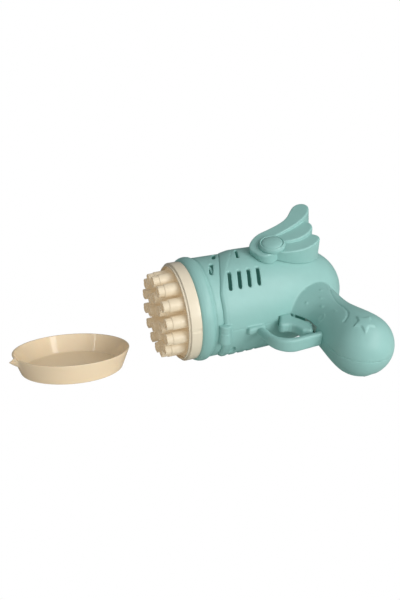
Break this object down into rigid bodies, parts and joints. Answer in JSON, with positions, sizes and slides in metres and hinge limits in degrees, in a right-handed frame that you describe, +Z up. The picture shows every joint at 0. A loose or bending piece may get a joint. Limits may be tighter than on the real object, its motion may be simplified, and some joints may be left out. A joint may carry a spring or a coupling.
{
  "type": "toy bubble gun",
  "caption": "Toy bubble gun lying on its side, with a tubed nozzle, slotted barrel, wings, rounded grip and trigger, beside its round dip dish.",
  "frame": {"origin": "centre of the nozzle ring's seat, on the barrel axis", "axes": "+Z up, with the gun lying on its right-hand side; +X runs from the nozzle to the back of the gun, which rises 6 degrees above X; the handle points towards -Y; the dish's base is at z = -0.0441"},
  "size_m": [0.2897, 0.1888, 0.1345],
  "materials": {
    "teal_plastic": "satin moulded ABS",
    "cream_plastic": "semi-gloss moulded ABS",
    "white_plastic": "moulded",
    "black_plastic": "moulded",
    "zinc_steel": "zinc plated",
    "cell_case": "printed sleeve with bare ends",
    "red_insulation": "soft PVC insulation",
    "black_insulation": "soft PVC insulation"
  },
  "bodies": {
    "root": {"nozzle_ring": "cream_plastic", "bubble_head": "cream_plastic", "front_collar": "teal_plastic", "left_shell": "teal_plastic", "right_shell": "teal_plastic", "left_wing": "teal_plastic", "right_wing": "teal_plastic", "left_wing_cap": "teal_plastic", "right_wing_cap": "teal_plastic", "wing_screws": "zinc_steel", "shell_screws": "zinc_steel", "trigger_guard": "teal_plastic", "trigger_pin": "zinc_steel", "trigger_spring": "zinc_steel", "switch_body": "black_plastic", "fan_shroud": "teal_plastic", "motor_can": "zinc_steel", "motor_end_bell": "white_plastic", "motor_screws": "zinc_steel", "battery_box": "white_plastic", "batteries": "cell_case", "battery_springs": "zinc_steel", "battery_contacts": "zinc_steel", "red_wire": "red_insulation", "black_wire": "black_insulation"},
    "trigger": {"trigger": "teal_plastic"},
    "switch_plunger": {"switch_plunger": "white_plastic"},
    "rotor": {"fan": "white_plastic", "motor_shaft": "zinc_steel"},
    "battery_door": {"battery_door": "teal_plastic", "battery_door_screw": "zinc_steel"},
    "dish": {"dish": "cream_plastic"}
  },
  "joints": [
    {"name": "trigger_pull", "type": "hinge", "parent": "root", "child": "trigger", "pos_m": [0.07267, -0.03454, -0.00258], "axis": [-0.1003, -0.2823, 0.9541], "range_deg": [0, 5.5], "stiffness_Nm_per_rad": 0.6},
    {"name": "switch_press", "type": "slide", "parent": "root", "child": "switch_plunger", "axis": [-0.9945, 0, -0.1045], "range_m": [0, 0.00096]},
    {"name": "rotor_spin", "type": "hinge", "parent": "root", "child": "rotor", "pos_m": [0, 0, 0], "axis": [0.9945, 0, 0.1045], "continuous": true},
    {"name": "door_hinge", "type": "hinge", "parent": "root", "child": "battery_door", "pos_m": [0.10859, -0.04567, -0.02459], "axis": [0.9916, 0.0502, 0.1191], "range_deg": [0, 95]},
    {"name": "dish_lift", "type": "slide", "parent": "root", "child": "dish", "axis": [0, 0, 1], "range_m": [0, 0.15]}
  ],
  "couplings": [
    {"joint": "switch_press", "follows": "trigger_pull", "m_per_rad": 0.0096}
  ]
}
